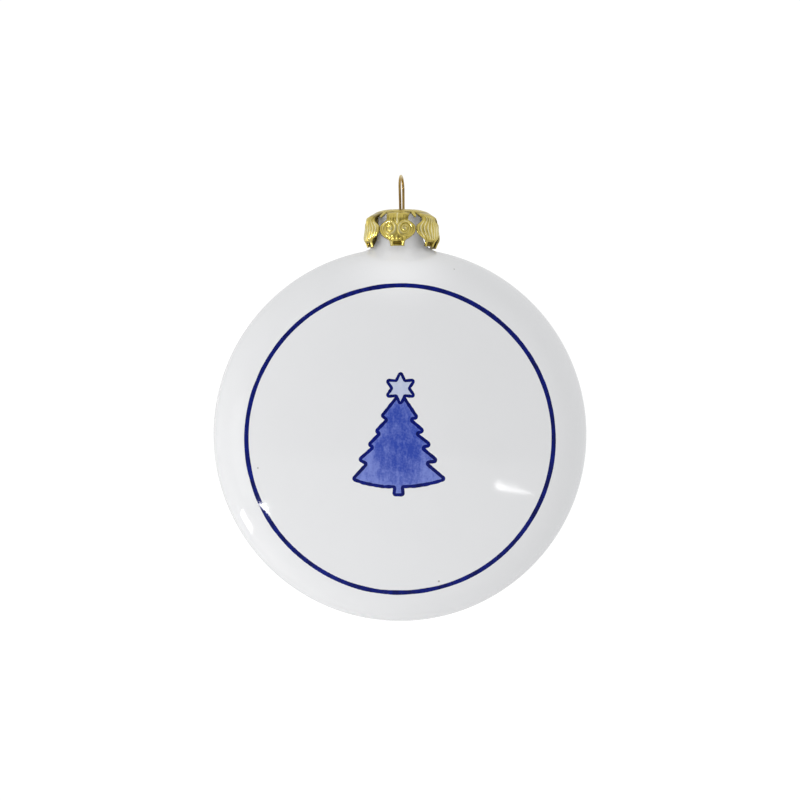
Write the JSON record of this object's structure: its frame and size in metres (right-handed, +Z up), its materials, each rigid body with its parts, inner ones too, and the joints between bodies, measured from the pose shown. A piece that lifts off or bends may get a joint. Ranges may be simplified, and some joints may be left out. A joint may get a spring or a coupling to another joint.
{
  "type": "christmas tree ornament",
  "caption": "Hollow glazed ceramic lens-shaped disc on a short neck, painted with a ring and a tree, with a stamped crown cap and a sprung wire hanging loop.",
  "frame": {"origin": "the point inside the top of the wire loop where a hook bears", "axes": "+Z up along the neck; -Y is the way the front face looks; +X is the viewer's right when looking at the front"},
  "size_m": [0.08, 0.0322, 0.0957],
  "materials": {
    "porcelain_glaze": "gloss white glaze",
    "cobalt_line": "gloss dark cobalt blue line under the glaze",
    "cobalt_wash": "gloss cloudy cobalt blue wash under the glaze",
    "star_wash": "gloss pale blue wash under the glaze",
    "gold_cap": "stamped, satin gold with darker hollows",
    "hanger_wire": "drawn wire, satin gold"
  },
  "bodies": {
    "ornament_body": {"ceramic_body": "porcelain_glaze", "front_ring_line": "cobalt_line", "front_tree_line": "cobalt_line", "front_tree_wash": "cobalt_wash", "front_star_line": "cobalt_line", "front_star_wash": "star_wash", "back_ring_line": "cobalt_line", "back_tree_line": "cobalt_line", "back_tree_wash": "cobalt_wash", "back_star_line": "cobalt_line", "back_star_wash": "star_wash"},
    "cap_body": {"crown_cap": "gold_cap"},
    "hanger_body": {"wire_hanger": "hanger_wire"}
  },
  "joints": [
    {"name": "cap_lift", "type": "slide", "parent": "ornament_body", "child": "cap_body", "axis": [0, 0, 1], "range_m": [0, 0.025]},
    {"name": "hanger_slide", "type": "slide", "parent": "cap_body", "child": "hanger_body", "axis": [0, 0, 1], "range_m": [0, 0.005]}
  ]
}
